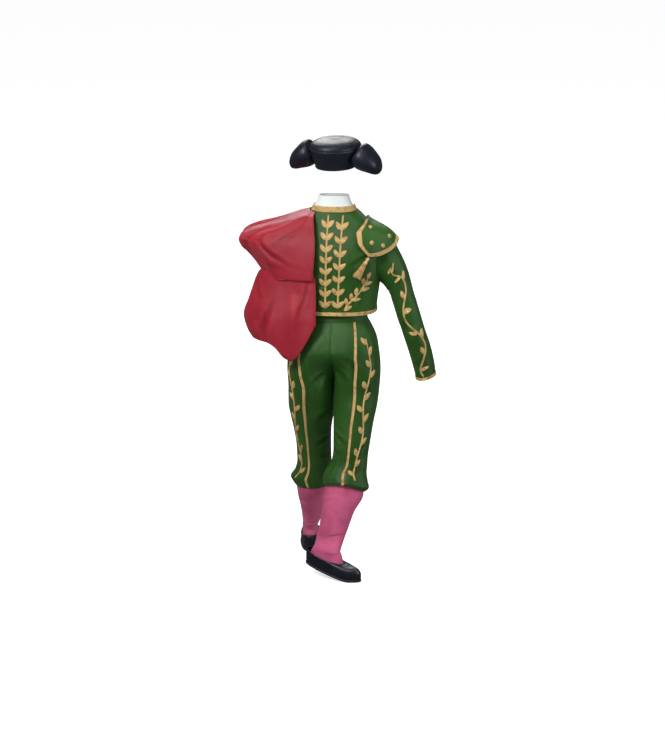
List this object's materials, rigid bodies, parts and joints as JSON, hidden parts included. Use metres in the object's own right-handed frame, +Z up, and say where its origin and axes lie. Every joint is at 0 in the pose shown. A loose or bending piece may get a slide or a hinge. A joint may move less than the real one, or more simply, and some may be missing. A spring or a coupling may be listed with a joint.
{
  "type": "matador costume, worn, with a cape over one shoulder",
  "caption": "Matador costume in its worn form: hat, embroidered short jacket, waistcoat, shirt, breeches, stockings, slippers and a shoulder cape.",
  "frame": {"origin": "between the wearer's shoulders at the base of the neck, where the wearer carries the costume", "axes": "+Z up, the wearer faces -Y, the wearer's left is +X"},
  "size_m": [0.773, 0.6073, 1.745],
  "materials": {
    "green_satin": "satin with a soft sheen",
    "gold_thread": "metallic thread, couched",
    "red_cape": "heavy silk with a soft sheen",
    "pink_silk": "fine knit",
    "black_leather": "smooth, polished",
    "black_plush": "short glossy pile",
    "white_cotton": "matt"
  },
  "bodies": {
    "root": {"breeches_back_left": "green_satin", "breeches_back_right": "green_satin", "breeches_braid_back_left": "gold_thread", "breeches_braid_back_right": "gold_thread", "breeches_braid_front_left": "gold_thread", "breeches_braid_front_right": "gold_thread", "breeches_front_left": "green_satin", "breeches_front_right": "green_satin", "breeches_waistband": "green_satin", "cape_lower": "red_cape", "cape_upper": "red_cape", "cuff_braid_left": "gold_thread", "cuff_braid_right": "gold_thread", "hombrera_braid_left": "gold_thread", "hombrera_braid_right": "gold_thread", "hombrera_left": "green_satin", "hombrera_right": "green_satin", "hombrera_stud_1": "gold_thread", "hombrera_stud_2": "gold_thread", "hombrera_stud_3": "gold_thread", "hombrera_stud_4": "gold_thread", "hombrera_tassel": "gold_thread", "jacket_back": "green_satin", "jacket_collar": "gold_thread", "jacket_front_braid_left": "gold_thread", "jacket_front_braid_right": "gold_thread", "jacket_front_left": "green_satin", "jacket_front_right": "green_satin", "jacket_hem_braid": "gold_thread", "jacket_sleeve_left": "green_satin", "jacket_sleeve_right": "green_satin", "montera_band": "black_plush", "montera_crown": "black_plush", "montera_pad_left": "black_plush", "montera_pad_right": "black_plush", "shirt_back": "white_cotton", "shirt_collar": "white_cotton", "shirt_front": "white_cotton", "slipper_sole_left": "black_leather", "slipper_sole_right": "black_leather", "slipper_upper_left": "black_leather", "slipper_upper_right": "black_leather", "stocking_left": "pink_silk", "stocking_right": "pink_silk", "vine_back_left": "gold_thread", "vine_back_right": "gold_thread", "vine_back_sprig": "gold_thread", "vine_leg_left": "gold_thread", "vine_leg_right": "gold_thread", "vine_sleeve": "gold_thread", "waistcoat_front_left": "green_satin", "waistcoat_front_right": "green_satin"}
  },
  "joints": []
}
